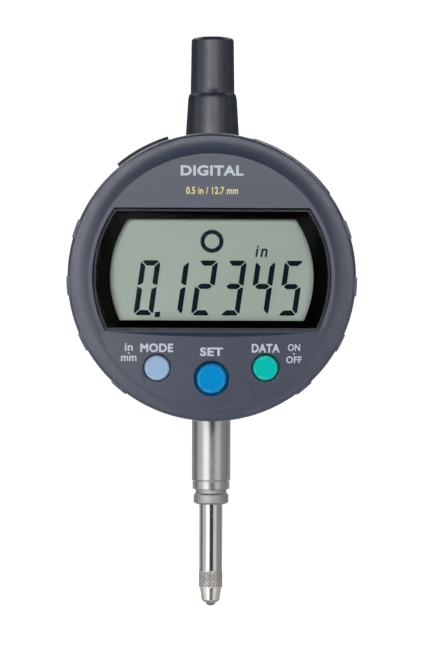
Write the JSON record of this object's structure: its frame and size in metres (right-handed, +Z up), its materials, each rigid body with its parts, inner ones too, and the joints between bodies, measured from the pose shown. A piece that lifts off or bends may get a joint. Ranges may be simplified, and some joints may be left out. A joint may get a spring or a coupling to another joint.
{
  "type": "digital plunger indicator",
  "caption": "Electronic plunger indicator: round turning display with a digital readout and push buttons, clamping stem, sprung spindle with ball contact point, dust cap, and a lug back.",
  "frame": {"origin": "on the spindle axis, at the middle of the stem's clamping length", "axes": "+Z up along the spindle, away from the contact point; the display faces -Y; +X is to the right of a person reading it"},
  "size_m": [0.0584, 0.0513, 0.1183],
  "materials": {
    "case_plastic": "satin moulded, dark blue-grey",
    "face_plastic": "satin moulded, mid blue-grey",
    "stem_steel": "ground and hardened",
    "spindle_steel": "ground and polished",
    "point_steel": "turned, knurled, slightly warm",
    "carbide": "lapped ball",
    "bronze": "sintered bushing",
    "plate_steel": "stamped",
    "screw_steel": "zinc plated",
    "spring_steel": "drawn wire",
    "carrier_alloy": "machined",
    "scale_coat": "etched track",
    "board_green": "solder mask",
    "chip_black": "moulded epoxy",
    "socket_cream": "moulded",
    "ribbon_film": "polyimide film",
    "seal_rubber": "nitrile",
    "washer_nylon": "natural nylon",
    "window_clear": "clear acrylic",
    "mask_black": "printed border",
    "lcd_face": "grey-green reflective display",
    "reflector_film": "reflective film",
    "zebra_rubber": "layered elastomer",
    "cell_steel": "nickel plated",
    "contact_metal": "gold plated",
    "cover_black": "satin moulded",
    "mode_blue": "satin pale blue",
    "set_blue": "satin strong blue",
    "data_green": "satin teal green"
  },
  "bodies": {
    "case": {"main_case": "case_plastic", "stem": "stem_steel", "lower_bush": "stem_steel", "upper_bush": "bronze", "rest_bumper": "seal_rubber", "thrust_washer": "washer_nylon", "stop_pin": "spindle_steel", "detector_board": "board_green", "detector_chip": "chip_black", "detector_screws": "screw_steel", "guide_plate": "plate_steel", "guide_screws": "screw_steel", "ribbon_cable": "ribbon_film", "case_gasket": "seal_rubber", "back_cover": "case_plastic", "cover_screws": "screw_steel", "return_spring": "spring_steel"},
    "spindle": {"spindle": "spindle_steel", "contact_point": "point_steel", "contact_ball": "carbide", "scale_carrier": "carrier_alloy", "linear_scale": "scale_coat", "guide_pin": "spindle_steel", "carrier_screws": "screw_steel"},
    "display": {"front_housing": "face_plastic", "rear_shell": "case_plastic", "hub_ring": "plate_steel", "hub_screws": "screw_steel", "hub_o_ring": "seal_rubber", "housing_screws": "screw_steel", "window_lens": "window_clear", "window_mask": "mask_black", "lcd_frame": "socket_cream", "lcd_glass": "lcd_face", "lcd_reflector": "reflector_film", "zebra_strips": "zebra_rubber", "main_board": "board_green", "board_screws": "screw_steel", "processor_chip": "chip_black", "board_socket": "socket_cream", "dome_switches": "spring_steel", "battery_cell": "cell_steel", "battery_contacts": "contact_metal", "data_connector": "cover_black", "connector_pins": "contact_metal"},
    "dust_cap": {"dust_cap": "case_plastic"},
    "battery_cap": {"battery_cap": "cover_black"},
    "connector_cover": {"connector_cover": "cover_black"},
    "mode_button": {"mode_button": "mode_blue"},
    "set_button": {"set_button": "set_blue"},
    "data_button": {"data_button": "data_green"}
  },
  "joints": [
    {"name": "spindle_slide", "type": "slide", "parent": "case", "child": "spindle", "axis": [0, 0, 1], "range_m": [0, 0.0127], "stiffness_N_per_m": 25, "springref_m": -0.04, "deforming": ["return_spring"]},
    {"name": "display_turn", "type": "hinge", "parent": "case", "child": "display", "pos_m": [0, 0, 0.03545], "axis": [0, -1, 0], "range_deg": [-165, 165]},
    {"name": "dust_cap_pull", "type": "slide", "parent": "case", "child": "dust_cap", "axis": [0, 0, 1], "range_m": [0, 0.018]},
    {"name": "battery_cap_pull", "type": "slide", "parent": "display", "child": "battery_cap", "axis": [0.5786, 0, 0.8156], "range_m": [0, 0.01]},
    {"name": "connector_cover_pull", "type": "slide", "parent": "display", "child": "connector_cover", "axis": [-0.481, 0, 0.8767], "range_m": [0, 0.01]},
    {"name": "mode_press", "type": "slide", "parent": "display", "child": "mode_button", "axis": [0, 1, 0], "range_m": [0, 0.0006], "stiffness_N_per_m": 2500, "springref_m": -0.0001},
    {"name": "set_press", "type": "slide", "parent": "display", "child": "set_button", "axis": [0, 1, 0], "range_m": [0, 0.0006], "stiffness_N_per_m": 2500, "springref_m": -0.0001},
    {"name": "data_press", "type": "slide", "parent": "display", "child": "data_button", "axis": [0, 1, 0], "range_m": [0, 0.0006], "stiffness_N_per_m": 2500, "springref_m": -0.0001}
  ]
}
